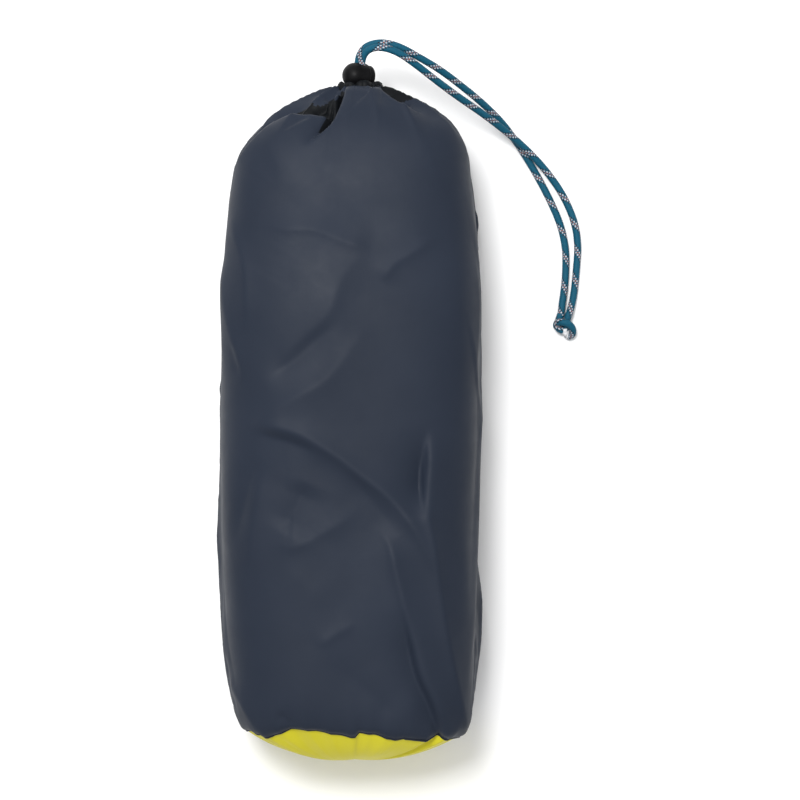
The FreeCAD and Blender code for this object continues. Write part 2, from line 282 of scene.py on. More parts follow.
def path_frames(path):
    """Two directions across a path at each of its points: one level, one upward."""
    tangents = unit(np.gradient(path, axis=0))
    sides = unit(np.cross(tangents, [0.0, 0.0, 1.0]))
    return sides, np.cross(sides, tangents)


def tube_points(path, radius, sides_count):
    """Rings round a path. The radius is one number, or one for each point of each ring."""
    sides, ups = path_frames(path)
    angle = 2 * math.pi * np.arange(sides_count) / sides_count
    out = sides[:, None] * np.cos(angle)[None, :, None] + ups[:, None] * np.sin(angle)[None, :, None]
    radius = np.broadcast_to(radius, out.shape[:2])
    return path[:, None] + out * radius[..., None]


def merge_doubles(piece):
    """Joins the points of a mesh that coincide, such as a last ring shrunk to one place."""
    shape = bmesh.new()
    shape.from_mesh(piece.data)
    bmesh.ops.remove_doubles(shape, verts=shape.verts, dist=1e-7)
    shape.to_mesh(piece.data)
    shape.free()


def joined_piece(name, grids, material):
    """Several capped tubes as one mesh."""
    vertices = []
    faces = []
    for points in grids:
        rows, columns, _ = points.shape
        start = len(vertices)
        vertices.extend(points.reshape(-1, 3))
        faces.extend([[start + i for i in face] for face in grid_faces(rows, columns, True)])
        faces.append([start + i for i in range(columns)][::-1])
        faces.append([start + (rows - 1) * columns + i for i in range(columns)])
    return mesh_piece(name, vertices, faces, material)


# ---------------------------------------------------------------- materials

def new_material(name, colour, roughness):
    """A principled material, its node tree and its shader."""
    material = bpy.data.materials.new(name)
    material.use_nodes = True
    nodes = material.node_tree.nodes
    shader = nodes["Principled BSDF"]
    shader.inputs["Base Color"].default_value = (*colour, 1.0)
    shader.inputs["Roughness"].default_value = roughness
    return material, material.node_tree, shader


def add_node(tree, kind, **inputs):
    """A new node with some of its inputs set."""
    node = tree.nodes.new(kind)
    for key, value in inputs.items():
        node.inputs[key.replace("_", " ")].default_value = value
    return node


def noise(tree, coordinates, scale, detail=3.0, roughness=0.5):
    """A noise texture's factor."""
    node = add_node(tree, "ShaderNodeTexNoise", Scale=scale, Detail=detail, Roughness=roughness)
    tree.links.new(coordinates, node.inputs["Vector"])
    return node.outputs["Fac"]


def mapped(tree, factor, low, high, out_low, out_high):
    """A factor moved from one range to another."""
    node = add_node(tree, "ShaderNodeMapRange", From_Min=low, From_Max=high,
                    To_Min=out_low, To_Max=out_high)
    tree.links.new(factor, node.inputs["Value"])
    return node.outputs["Result"]


def colour_between(tree, factor, first, second):
    """A colour that goes from one to another with a factor."""
    node = tree.nodes.new("ShaderNodeMix")
    node.data_type = "RGBA"
    node.inputs["A"].default_value = (*first, 1.0)
    node.inputs["B"].default_value = (*second, 1.0)
    tree.links.new(factor, node.inputs["Factor"])
    return node.outputs["Result"]


def add_bump(tree, shader, height, distance, strength=1.0, below=None):
    """A bump on the shader's normal, over an earlier bump if there is one."""
    bump = add_node(tree, "ShaderNodeBump", Distance=distance, Strength=strength)
    tree.links.new(height, bump.inputs["Height"])
    if below is not None:
        tree.links.new(below, bump.inputs["Normal"])
    tree.links.new(bump.outputs["Normal"], shader.inputs["Normal"])
    return bump.outputs["Normal"]


def weave_height(tree, uv, threads_per_metre):
    """The height of a plain weave: crossed threads, over and under in turn."""
    waves = []
    for direction in ("X", "Y"):
        wave = tree.nodes.new("ShaderNodeTexWave")
        wave.bands_direction = direction
        wave.wave_profile = "SIN"
        wave.inputs["Scale"].default_value = threads_per_metre / 20.0
        tree.links.new(uv, wave.inputs["Vector"])
        waves.append(wave.outputs["Fac"])
    product = tree.nodes.new("ShaderNodeMath")
    product.operation = "MULTIPLY"
    for i, factor in enumerate(waves):
        tree.links.new(factor, product.inputs[i])
    return product.outputs["Value"]


def coated_nylon(name, light, dark, roughness, sheen):
    """Thin coated nylon: a fine weave under a smooth coating, faintly mottled and crinkled."""
    material, tree, shader = new_material(name, light, roughness)
    place = tree.nodes.new("ShaderNodeTexCoord")
    mottle = noise(tree, place.outputs["Object"], 16.0, 4.0, 0.55)
    colour = colour_between(tree, mapped(tree, mottle, 0.3, 0.7, 0.0, 1.0), dark, light)
    tree.links.new(colour, shader.inputs["Base Color"])
    rub = noise(tree, place.outputs["Object"], 45.0, 5.0, 0.6)
    rubbed = mapped(tree, rub, 0.3, 0.7, roughness - 0.05, roughness + 0.07)
    tree.links.new(rubbed, shader.inputs["Roughness"])
    shader.inputs["Sheen Weight"].default_value = sheen
    shader.inputs["Sheen Roughness"].default_value = 0.5
    shader.inputs["Specular IOR Level"].default_value = 0.125
    crinkle = noise(tree, place.outputs["Object"], 90.0, 3.0, 0.5)
    first = add_bump(tree, shader, crinkle, 0.0005, 0.25)
    weave = weave_height(tree, place.outputs["UV"], 2600.0)
    add_bump(tree, shader, weave, 0.00002, 0.25, first)
    return material


def yarn(name, colour, roughness=0.62):
    """Braided polyester yarn with fine filaments."""
    darker = tuple(0.72 * c for c in colour)
    material, tree, shader = new_material(name, colour, roughness)
    place = tree.nodes.new("ShaderNodeTexCoord")
    fibre = noise(tree, place.outputs["Object"], 1400.0, 2.0, 0.5)
    mottled = colour_between(tree, mapped(tree, fibre, 0.3, 0.7, 0.0, 1.0), darker, colour)
    tree.links.new(mottled, shader.inputs["Base Color"])
    shader.inputs["Specular IOR Level"].default_value = 0.18
    add_bump(tree, shader, fibre, 0.0001, 0.5)
    return material


def moulded_plastic(name, colour, roughness):
    """Injection-moulded plastic with a fine spark-eroded grain and rubbed patches."""
    material, tree, shader = new_material(name, colour, roughness)
    place = tree.nodes.new("ShaderNodeTexCoord")
    shader.inputs["Specular IOR Level"].default_value = 0.1
    grain = noise(tree, place.outputs["Object"], 2600.0, 2.0, 0.6)
    patch = noise(tree, place.outputs["Object"], 160.0, 3.0, 0.5)
    brighter = tuple(1.5 * c + 0.002 for c in colour)
    mottled = colour_between(tree, mapped(tree, patch, 0.45, 0.75, 0.0, 1.0), colour, brighter)
    tree.links.new(mottled, shader.inputs["Base Color"])
    rubbed = mapped(tree, patch, 0.3, 0.7, roughness - 0.06, roughness + 0.08)
    tree.links.new(rubbed, shader.inputs["Roughness"])
    add_bump(tree, shader, grain, 0.00006, 0.5)
    return material


def drawn_steel(name):
    """Bright drawn wire."""
    material, tree, shader = new_material(name, (0.55, 0.56, 0.58), 0.3)
    shader.inputs["Metallic"].default_value = 1.0
    place = tree.nodes.new("ShaderNodeTexCoord")
    scratch = noise(tree, place.outputs["Object"], 3000.0, 2.0, 0.6)
    tree.links.new(mapped(tree, scratch, 0.3, 0.7, 0.22, 0.4), shader.inputs["Roughness"])
    add_bump(tree, shader, scratch, 0.00002, 0.3)
    return material


# Each cloth's lighter and darker colour, its roughness and its sheen.
SLATE = coated_nylon("slate_nylon", (0.0172, 0.0232, 0.0375), (0.0142, 0.0195, 0.0320), 0.53, 0.0)
SEAM_CLOTH = coated_nylon("seam_nylon", (0.012, 0.016, 0.026), (0.009, 0.012, 0.02), 0.5, 0.02)
# Near-black hem cloth: partly the hem's own dark colour, partly painted shade of the hollow neck. It is
# also laid on the skin's deep pockets as painted shade.
HEM_CLOTH_AND_PAINTED_SHADE = coated_nylon("hem_nylon_and_painted_shade", (0.0045, 0.0055, 0.007), (0.003, 0.0038, 0.005), 0.55, 0.0)
YELLOW = coated_nylon("yellow_nylon", (0.59, 0.535, 0.026), (0.54, 0.485, 0.021), 0.5, 0.0)
THREAD = yarn("slate_thread", (0.014, 0.018, 0.028))
TEAL_YARN = yarn("teal_yarn", (0.004, 0.086, 0.146))
WHITE_YARN = yarn("white_yarn", (0.52, 0.53, 0.57))
BLACK_YARN = yarn("black_yarn", (0.012, 0.012, 0.018))
RED_YARN = yarn("red_yarn", (0.24, 0.08, 0.06))
CORE_FIBRE = yarn("core_fibre", (0.90, 0.91, 0.93), 0.7)
BLACK_PLASTIC = moulded_plastic("black_plastic", (0.0035, 0.0035, 0.004), 0.45)
STEEL = drawn_steel("drawn_steel")
LOAD_CLOTH = coated_nylon("load_cloth", (0.2, 0.21, 0.2), (0.16, 0.17, 0.16), 0.6, 0.1)


# ---------------------------------------------------------------- sack skin

def skin_base(rows, columns, grow=0.0):
    """The smooth form of the sack, without seam, folds or wrinkles."""
    stations = evenly(SKIN, rows, [0, 2, 4])
    angle = np.linspace(-0.5 * math.pi, 1.5 * math.pi, 1440, endpoint=False)
    c = np.cos(angle)
    s = np.sin(angle)
    across = np.sign(c) * np.abs(c) ** (2 / SECTION_POWER)
    upward = np.sign(s) * np.abs(s) ** (2 / SECTION_POWER)
    points = np.empty((rows, columns, 3))
    for row, (y, left, right, low, high) in enumerate(stations):
        x = 0.5 * (left + right) + (0.5 * (right - left) + grow) * across
        z = 0.5 * (low + high) + (0.5 * (high - low) + grow) * upward
        outline = np.stack([x, z], axis=1)
        outline = np.vstack([outline, outline[:1]])
        travelled = np.concatenate([[0.0], np.cumsum(np.linalg.norm(np.diff(outline, axis=0), axis=1))])
        wanted = travelled[-1] * np.arange(columns) / columns
        points[row, :, 0] = np.interp(wanted, travelled, outline[:, 0])
        points[row, :, 1] = y
        points[row, :, 2] = np.interp(wanted, travelled, outline[:, 1])
    return points


def line_distance(x, y, points):
    """Distance to a smooth line, positive on its left, and the fraction of the way along it."""
    line = curve_through(points, np.linspace(0, len(points) - 1, 6 * (len(points) - 1) + 1))
    steps = np.diff(line, axis=0)
    lengths = np.linalg.norm(steps, axis=1)
    started = np.concatenate([[0.0], np.cumsum(lengths)])
    nearest = np.full(x.shape, 1e9)
    side = np.ones(x.shape)
    along = np.zeros(x.shape)
    for start, step, length, before in zip(line, steps, lengths, started):
        rx = x - start[0]
        ry = y - start[1]
        f = np.clip((rx * step[0] + ry * step[1]) / length ** 2, 0.0, 1.0)
        distance = np.hypot(rx - f * step[0], ry - f * step[1])
        closer = distance < nearest
        nearest = np.where(closer, distance, nearest)
        side = np.where(closer, np.where(step[0] * ry - step[1] * rx >= 0, 1.0, -1.0), side)
        along = np.where(closer, (before + f * length) / started[-1], along)
    return nearest * side, along


def fold_height(x, y, points, left, right, crest, fade):
    """How far a fold lifts the cloth: lift and reach on each side of a line, its crest and its fades."""
    distance, along = line_distance(x, y, points)
    beyond = np.sqrt(distance ** 2 + crest ** 2) - crest
    on_left = 0.5 * (1.0 + np.tanh(distance / crest))
    height = on_left * left[0] * np.exp(-beyond / left[1])
    height += (1.0 - on_left) * right[0] * np.exp(-beyond / right[1])
    return height * smooth_step(along / fade[0]) * smooth_step((1.0 - along) / fade[1])


# Folds on the upper side, in x and y: the line, lift and reach on its left, then on its right,
# the crest's radius, and the share of the line that fades in and out.
MOUTH_FOLDS = [
    # the raised panel that runs up to the neck
    ([(-2.6, 171), (-3.6, 164), (-8.4, 152), (-14, 145), (-25, 136)],
     (1.0, 14), (-7.5, 6), 0.6, (0.01, 0.5)),
    ([(-7.4, 169), (-9.4, 163), (-11.2, 157.6)], (1.5, 1.6), (1.5, 2.2), 0.5, (0.1, 0.25)),
    ([(14.2, 170), (20, 164.6), (26, 159.8), (32, 157), (39, 155)],
     (-7.0, 6), (1.2, 12), 0.5, (0.01, 0.55)),
    ([(25, 159.6), (30, 161.6), (37, 163.5)], (-2.0, 5), (0.5, 8), 0.8, (0.15, 0.4)),
    # the hem of the panel
    ([(-6, 166.4), (5, 166.9), (17, 166.4)], (0.9, 3), (0.9, 12), 0.3, (0.12, 0.12)),
    # the dark pocket to its left
    ([(-46, 150), (-37.2, 153.6), (-32, 154.8), (-20.5, 155.8), (-8.8, 154.4)],
     (-7.0, 8), (0.7, 12), 0.7, (0.3, 0.05)),
    ([(-12.2, 163.4), (-17, 162), (-22, 160.6)], (-3.0, 4), (1.8, 3), 0.6, (0.2, 0.4)),
    ([(-37, 142.4), (-28.7, 148.2), (-20.5, 153.6)], (-0.8, 8), (0.4, 10), 0.8, (0.4, 0.2)),
]
# Near-black cloth is laid on as painted shade where the mouth's folds go deeper than this.
POCKET_DEPTH = 3.6
# It is also laid on as painted shade beside the raised panel, beyond this line in x and y.
PAINTED_SHADE_EDGE = [(12.0, 171.5), (14.4, 169.8), (26.2, 160.4), (34.0, 164.0)]
TOP_FOLDS = [
    # the shoulders' folded edges
    ([(-62, 128), (-59.3, 132), (-51, 142), (-44.9, 148.3), (-40, 152)],
     (-8.0, 8), (0.9, 9), 0.45, (0.2, 0.2)),
    ([(44, 156), (50, 151.4), (57, 145), (62.5, 137), (64.5, 130)],
     (-8.0, 8), (0.9, 9), 0.45, (0.2, 0.2)),
    ([(-48, 142), (-40, 128), (-36, 110)], (0.9, 14), (-0.5, 12), 4.0, (0.2, 0.6)),
    ([(34, 152), (44, 134), (50, 112)], (-0.6, 14), (0.8, 12), 4.0, (0.2, 0.6)),
    # faint chevron
    ([(-46, 95.6), (-33, 93.6), (-18, 93), (-1, 86.5), (12, 83)],
     (1.4, 10), (1.4, 4), 0.6, (0.3, 0.2)),
    ([(15, 65), (23, 75.7), (31.5, 81), (48, 92)], (1.5, 8), (1.5, 4), 0.5, (0.2, 0.35)),
    # long diagonals towards the left flank
    ([(18, 96), (4, 80), (-6, 66), (-12, 50), (-29, 33.6), (-40, 22), (-58, 2)],
     (3.2, 11), (3.2, 40), 2.0, (0.45, 0.5)),
    ([(-4, 48), (-18, 36), (-30, 25), (-45, 15)], (-1.8, 5), (-1.8, 6), 2.0, (0.4, 0.3)),
    ([(14, 50), (-5, 24), (-14, 14.5), (-27, 6.5), (-45, -4.5), (-62, -17)],
     (4.2, 26), (4.2, 12), 1.1, (0.45, 0.45)),
    # the rounded fold and the crease under it
    ([(-52, -5), (-46, -7), (-27, -11.8), (-7.4, -23), (5.6, -33.0), (21.2, -45.5), (33.0, -61),
      (42, -80), (46, -96)],
     (3.0, 7), (3.0, 4), 1.3, (0.12, 0.3)),
    ([(-50, -11.5), (-31, -16), (-15, -22.6)], (-1.2, 2.2), (-1.2, 5), 0.8, (0.3, 0.35)),
    ([(-6, -31), (3.4, -38), (16.4, -53), (26, -66)], (-1.0, 4), (-1.0, 9), 1.6, (0.4, 0.35)),
    # the pale patch, its edges, and the ridge that runs down from it
    ([(-22, -36), (-26, -46), (-35, -64)], (-1.9, 12), (-1.9, 6), 0.9, (0.3, 0.3)),
    ([(-42, -66), (-35, -69), (-26, -69), (-5, -57.5), (8, -48)],
     (1.8, 12), (1.8, 6), 1.0, (0.3, 0.4)),
    ([(12, -58), (20, -68), (24, -85), (28.3, -102.5), (31.5, -120), (36, -137),
      (42.3, -150), (50, -168)],
     (2.7, 8), (2.7, 4), 0.5, (0.2, 0.03)),
    ([(25.9, -98), (30.1, -119), (34.6, -137), (40.9, -150.5), (48.6, -168.5)],
     (-5.8, 1.5), (-5.8, 9), 0.6, (0.4, 0.03)),
    ([(-14, -124), (5.6, -143.5), (28, -161)], (-1.7, 8), (-1.7, 10), 3.0, (0.4, 0.25)),
    # bands on the left
    ([(-46, -22), (-51, -30), (-56, -50), (-59.5, -72)], (-1.6, 4), (-1.6, 4), 1.5, (0.3, 0.4)),
    ([(-44, -28), (-48, -48), (-51, -68), (-52, -88)], (1.2, 6), (1.2, 5), 1.5, (0.3, 0.4)),
    ([(-40, -74), (-20, -92), (-4, -104)], (0.9, 16), (0.9, 14), 4.0, (0.4, 0.4)),
    # the long sharp ridge on the right, with its dark wedge
    ([(41, -8), (39, -27), (38, -42), (39, -53), (42.3, -70), (45.6, -96), (49.9, -122),
      (54.2, -143.5), (59, -169)],
     (3.0, 9), (3.0, 4), 0.45, (0.12, 0.02)),
    ([(40.0, -7), (37.8, -27), (36.8, -42), (38.4, -57)], (-6.4, 1.4), (-6.4, 8), 0.6, (0.5, 0.4)),
    ([(54, 100), (57, 40), (56, -14)], (1.0, 7), (1.0, 8), 3.0, (0.3, 0.4)),
    ([(58, -56), (60, -96), (61, -132)], (1.0, 5), (1.0, 5), 2.2, (0.4, 0.4)),
    # the lower middle and the lower left
    ([(-18, -123), (-7.4, -115.4), (5, -108)], (0.9, 6), (0.9, 3), 0.5, (0.3, 0.35)),
    ([(-65, -134), (-59, -146), (-50, -161), (-46, -170)], (1.7, 5), (1.7, 3), 0.6, (0.35, 0.02)),
    ([(-38, -156), (-33, -160), (-30, -165)], (-1.0, 2.5), (-1.0, 3), 0.8, (0.3, 0.3)),
    # the left flank's long soft ridges
    ([(-63, 105), (-60.3, 96), (-53.8, 74.6), (-52.7, 53), (-54.5, 36)],
     (1.7, 4), (1.7, 6), 0.8, (0.25, 0.35)),
    ([(-67, 84), (-65.7, 76), (-63.5, 53), (-57, 27), (-53.5, 6)],
     (2.0, 4), (2.0, 6), 0.8, (0.25, 0.35)),
    ([(-61.5, 37), (-56, 15)], (-1.0, 2), (-1.0, 3), 0.8, (0.35, 0.4)),
]

# The largest settled wrinkle, and how much of the wrinkles is used.
LARGEST_WRINKLE = 3.5
WRINKLE_SHARE = 0.9
# How squarely the cloth faces sideways where the flanks' folds begin.
FLANK_LEAST = 0.5


def scattered_folds(random, count, low, high):
    """Long loose folds at random, in height or x and y."""
    folds = []
    for _ in range(count):
        start = np.array([random.uniform(low, high), random.uniform(-150, 110)])
        heading = random.uniform(-0.45, 0.45) + math.pi * (random.random() < 0.5)
        reach = random.uniform(26, 80)
        bend = random.uniform(-7, 7)
        ahead = np.array([math.sin(heading), math.cos(heading)])
        aside = np.array([ahead[1], -ahead[0]])
        line = [start, start + 0.5 * reach * ahead + bend * aside, start + reach * ahead]
        lift = random.uniform(0.5, 1.5)
        width = random.uniform(3.0, 7.0)
        folds.append((line, (lift, width), (random.uniform(-0.4, 1.0) * lift, 1.3 * width),
                      random.uniform(0.6, 1.6), (0.4, 0.4)))
    return folds


def add_folds(base, columns, facing, folds, least=0.02):
    """Total lift of the folds on the side of the sack that faces one way."""
    weight = smooth_step((facing - least) / 0.35)
    total = np.zeros(base.shape[:2])
    for fold in folds:
        total += fold_height(base[..., columns[0]], base[..., columns[1]], *fold)
    return total * weight


def blurred(field, passes):
    """A grid of values, closed round its columns, averaged with its neighbours again and again."""
    for _ in range(passes):
        padded = np.concatenate([field[:1], field, field[-1:]])
        total = padded[:-2] + padded[2:] + np.roll(field, 1, axis=1) + np.roll(field, -1, axis=1)
        field = 0.25 * total
    return field


# The settling: the cloth's grid, how many frames it runs, how much the cloth grows, and how far inside it
# the load is.
SETTLING_ROWS = 84
SETTLING_COLUMNS = 100
SETTLING_FRAMES = 30
SETTLING_GROWTH = 0.04
SETTLING_GAP = 2.2
# How many averaging passes separate the wrinkles from the change of the whole outline.
OUTLINE_PASSES = 60


def settled_wrinkles():
    """The wrinkles that slack cloth takes on when it settles over the load."""
    rows = SETTLING_ROWS
    columns = SETTLING_COLUMNS
    coarse = skin_base(rows, columns)
    piece = grid_piece("settling_cloth", coarse, SLATE)
    load = grid_piece("settling_load", skin_base(60, 72, -SETTLING_GAP), SLATE)
    pins = piece.vertex_groups.new(name="pins")
    held = list(range(3 * columns)) + list(range((rows - 7) * columns, rows * columns))
    pins.add(held, 1.0, "REPLACE")
    load.modifiers.new("solid", "COLLISION")
    load.collision.thickness_outer = 0.0008
    cloth = piece.modifiers.new("cloth", "CLOTH")
    settings = cloth.settings
    settings.quality = 6
    settings.mass = 0.12
    settings.tension_stiffness = 12
    settings.compression_stiffness = 12
    settings.shear_stiffness = 4
    settings.bending_stiffness = 0.02
    settings.shrink_min = -SETTLING_GROWTH
    settings.vertex_group_mass = "pins"
    settings.use_pressure = True
    settings.uniform_pressure_force = 0.5
    cloth.collision_settings.distance_min = 0.001
    for frame_number in range(1, SETTLING_FRAMES + 1):
        bpy.context.scene.frame_set(frame_number)
    graph = bpy.context.evaluated_depsgraph_get()
    settled = piece.evaluated_get(graph).to_mesh()
    places = np.empty(3 * rows * columns)
    settled.vertices.foreach_get("co", places)
    offset = places.reshape(rows, columns, 3) / MM - coarse
    offset -= blurred(offset, OUTLINE_PASSES)
    bpy.context.scene.frame_set(1)
    bpy.data.objects.remove(piece)
    bpy.data.objects.remove(load)
    return offset


def spread(field, rows, columns):
    """A coarse grid of values, closed round its columns, on a finer grid."""
    tall = curve_through(field, np.linspace(0, len(field) - 1, rows))
    wrapped = np.concatenate([tall[:, -2:], tall, tall[:, :3]], axis=1)
    places = 2 + np.arange(columns) * field.shape[1] / columns
    return curve_through(wrapped.swapaxes(0, 1), places).swapaxes(0, 1)


def gather_pleats(angle, random, count):
    """Uneven pleats round a neck: sharp crests and soft valleys, from -1 to 1."""
    wobble = sum(random.uniform(0.1, 0.35) * np.sin(k * angle + random.uniform(0, 6.3))
                 for k in (1, 2, 3))
    phase = count * angle + 2.2 * wobble
    return 1.0 - 2.0 * np.abs(np.sin(0.5 * phase)) ** 0.8


def wrinkle_offset(base, normals):
    """The settled wrinkles on the skin's grid, fading up the flanks and towards both ends."""
    y = base[..., 1]
    offset = spread(settled_wrinkles(), SKIN_ROWS, SKIN_COLUMNS)
    size = np.linalg.norm(offset, axis=-1, keepdims=True)
    offset *= np.minimum(1.0, LARGEST_WRINKLE / np.maximum(size, 1e-6))
    ends = smooth_step((y - SEAM_Y) / 14) * smooth_step((160 - y) / 16)
    upward = smooth_step((normals[..., 2] + 0.8) / 1.6)
    return offset * (ends * WRINKLE_SHARE * (1.0 - upward))[..., None]


def fold_lift(base, normals, random):
    """How far the folds lift the skin: all of them, and those at the mouth on their own."""
    mouth = add_folds(base, (0, 1), normals[..., 2], MOUTH_FOLDS)
    lift = mouth + add_folds(base, (0, 1), normals[..., 2], TOP_FOLDS)
    left_folds = scattered_folds(random, 14, 12, 60)
    lift += add_folds(base, (2, 1), -normals[..., 0], left_folds, FLANK_LEAST)
    right_folds = scattered_folds(random, 16, 12, 84)
    lift += add_folds(base, (2, 1), normals[..., 0], right_folds, FLANK_LEAST)
    lift += 0.5 * add_folds(base, (0, 1), -normals[..., 2], scattered_folds(random, 12, -55, 55))
    return lift, mouth


def seam_line(base, tucks):
    """Where each column of the skin meets the base panel, in y."""
    top_edge = np.interp(base[0, :, 0], *zip(*SEAM_EDGE))
    under_edge = -168.2 + 1.2 * tucks[0]
    on_top = smooth_step((base[0, :, 2] - 26) / 16)
    return under_edge + (top_edge - under_edge) * on_top


def skin_surface():
    """The finished sack skin as a grid of points, and the faces that get painted shade."""
    random = np.random.default_rng(SEED)
    base = skin_base(SKIN_ROWS, SKIN_COLUMNS)
    normals = grid_normals(base)
    y = base[..., 1]
    offset = wrinkle_offset(base, normals)
    lift, mouth = fold_lift(base, normals, random)
    angle = np.arctan2(base[..., 2] - NECK_Z, base[..., 0] - NECK_X)
    away_from_panel = 1.0 - np.exp(-((angle - 0.5 * math.pi) / 0.55) ** 2)
    pleats = gather_pleats(angle, random, NECK_PLEATS)
    lift += PLEAT_DEPTH * pleats * smooth_step((y - PLEATS_START_Y) / 26) * away_from_panel
    tucks = gather_pleats(angle, random, BASE_TUCKS)
    lift += TUCK_DEPTH * tucks * np.exp(-(y - SEAM_Y) / 7)
    points = base + offset + normals * lift[..., None]
    points[..., 1] += (seam_line(base, tucks) - SEAM_Y)[None, :] * np.exp(-(y - SEAM_Y) / 5)
    rolled = 1.3 * np.exp(-np.arange(SKIN_ROWS) / 1.6)
    points -= normals * rolled[:, None, None]
    points[..., 2] = np.maximum(points[..., 2], SKIN_FLOOR)
    # Painted shade: faces in the mouth's deepest folds and in the strip beside the raised panel get the
    # near-black cloth.
    edge = np.interp(points[..., 0], *zip(*PAINTED_SHADE_EDGE), left=np.inf, right=np.inf)
    shade_beside_panel = (points[..., 1] > edge) & (normals[..., 2] > -0.1)
    return points, (mouth < -POCKET_DEPTH) | shade_beside_panel


def build_skin(points, pocket):
    """The slate cloth tube from the base seam to the neck, with near-black cloth in its pockets as painted
    shade.
    """
    skin = grid_piece("sack_skin", points, SLATE)
    # The near-black cloth on the marked faces is painted shade.
    skin.data.materials.append(HEM_CLOTH_AND_PAINTED_SHADE)
    skin.data.polygons.foreach_set("material_index", pocket[:-1].ravel().astype(int))
    thickness = skin.modifiers.new("thickness", "SOLIDIFY")
    thickness.thickness = CLOTH_THICKNESS * MM
    thickness.offset = -1.0
    apply_modifiers(skin)
    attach(skin, "sack")
    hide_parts("sack_body")


def apply_modifiers(piece):
    """Turns a piece's modifiers into its mesh."""
    graph = bpy.context.evaluated_depsgraph_get()
    final = bpy.data.meshes.new_from_object(piece.evaluated_get(graph))
    piece.modifiers.clear()
    piece.data = final


# ---------------------------------------------------------------- base

def build_base(skin_points):
    """The yellow base panel: a dome that swells out from under the seam."""
    random = np.random.default_rng(SEED + 1)
    rim = skin_points[0].copy()
    pole = np.array(BASE_POLE)
    angle = np.arctan2(rim[:, 2] - pole[2], rim[:, 0] - pole[0])
    pucker = gather_pleats(angle, random, BASE_TUCKS)
    rows = []
    for share in np.linspace(1.0, 0.0, BASE_ROWS, endpoint=False):
        row = pole + (rim - pole) * share
        depth = 1.0 - share ** BASE_POWER
        row[:, 1] = rim[:, 1] + (pole[1] - rim[:, 1]) * depth
        swell = 0.5 * pucker * math.exp(-(1.0 - share) / 0.09)
        swell += 0.5 * np.sin(3 * angle + 4.0 * share) * (1.0 - share) * share * 4.0
        row[:, 1] -= swell
        rows.append(row)
    rows.append(np.tile(pole, (len(rim), 1)))
    points = np.array(rows)
    points[..., 2] = np.maximum(points[..., 2], SKIN_FLOOR)
    panel = grid_piece("base_panel_cloth", points, YELLOW, flip=True)
    merge_doubles(panel)
    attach(panel, "sack")
    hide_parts("base_panel")


def build_base_seam(skin_points):
    """The narrow binding that shows between the two cloths."""
    rim = skin_points[0] + np.array([0.0, -0.25, 0.0])
    rim[:, 2] = np.maximum(rim[:, 2], SKIN_FLOOR + 0.3)
    closed = np.vstack([rim, rim[:1]])
    binding = joined_piece("base_seam_binding", [tube_points(closed, BINDING_RADIUS, 10)], SEAM_CLOTH)
    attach(binding, "sack")
    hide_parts("base_seam")


def stitch_tubes(points, normals, lift):
    """Stitches along a line of points: short tubes that dive into the cloth at both ends."""
    travelled = np.concatenate([[0.0], np.cumsum(np.linalg.norm(np.diff(points, axis=0), axis=1))])
    tubes = []
    start = 0.5 * STITCH_PITCH
    arch = np.array([-0.5, 0.55, 0.9, 1.0, 0.9, 0.55, -0.5])
    while start + STITCH_LENGTH < travelled[-1]:
        wanted = start + STITCH_LENGTH * np.linspace(0.0, 1.0, len(arch))
        line = np.stack([np.interp(wanted, travelled, points[:, k]) for k in range(3)], axis=1)
        out = np.stack([np.interp(wanted, travelled, normals[:, k]) for k in range(3)], axis=1)
        tubes.append(tube_points(line + out * (lift * arch)[:, None], STITCH_RADIUS, 6))
        start += STITCH_PITCH
    return tubes


def build_base_stitching(skin_points, normals):
    """One row of stitches in the slate cloth beside the base seam."""
    row = 4
    line = np.vstack([skin_points[row], skin_points[row][:1]])
    outward = np.vstack([normals[row], normals[row][:1]])
    clear = line[:, 2] > SKIN_FLOOR + 0.4
    start = int(np.argmax(clear))
    end = len(clear) - int(np.argmax(clear[::-1]))
    tubes = stitch_tubes(line[start:end], outward[start:end], 0.2)
    stitching = joined_piece("base_stitching", tubes, THREAD)
    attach(stitching, "sack")


def build_side_seam(skin_points, normals):
    """The felled seam low on the left flank, with its two rows of stitches."""
    first = int(SIDE_SEAM_PLACE * SKIN_COLUMNS)
    columns = slice(first, first + SIDE_SEAM_COLUMNS)
    rows = slice(SIDE_SEAM_ROWS[0], int(SIDE_SEAM_ROWS[1] * SKIN_ROWS))
    band = skin_points[rows, columns]
    out = normals[rows, columns]
    profile = np.array([0.1, 0.55, 0.62, 0.6, 0.6, 0.62, 0.55, 0.1])
    upper = band + out * profile[None, :, None]
    lower = band - out * 0.3
    wall = np.concatenate([upper, lower[:, ::-1]], axis=1)
    seam = joined_piece("side_seam_fell", [wall], SLATE)
    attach(seam, "sack")
    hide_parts("side_seam")
    tubes = []
    for column in (2, 5):
        tubes += stitch_tubes(upper[:, column], out[:, column], 0.18)
    stitching = joined_piece("side_seam_stitching", tubes, THREAD)
    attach(stitching, "sack")


def build_load():
    """What is packed inside: a soft bundle well clear of the skin's folds."""
    points = skin_base(90, 96, -LOAD_GAP)[4:70]
    points[..., 2] = np.maximum(points[..., 2], 3.0)
    middle = points.mean(axis=1, keepdims=True)
    capped = [middle[0] + (points[0] - middle[0]) * share for share in (0.02, 0.5, 0.85)]
    ends = [middle[-1] + (points[-1] - middle[-1]) * share for share in (0.85, 0.5, 0.02)]
    load = joined_piece("packed_load", [np.array(capped + list(points) + ends)], LOAD_CLOTH)
    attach(load, "sack")
    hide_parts("packed_contents")


# ---------------------------------------------------------------- gathered hem

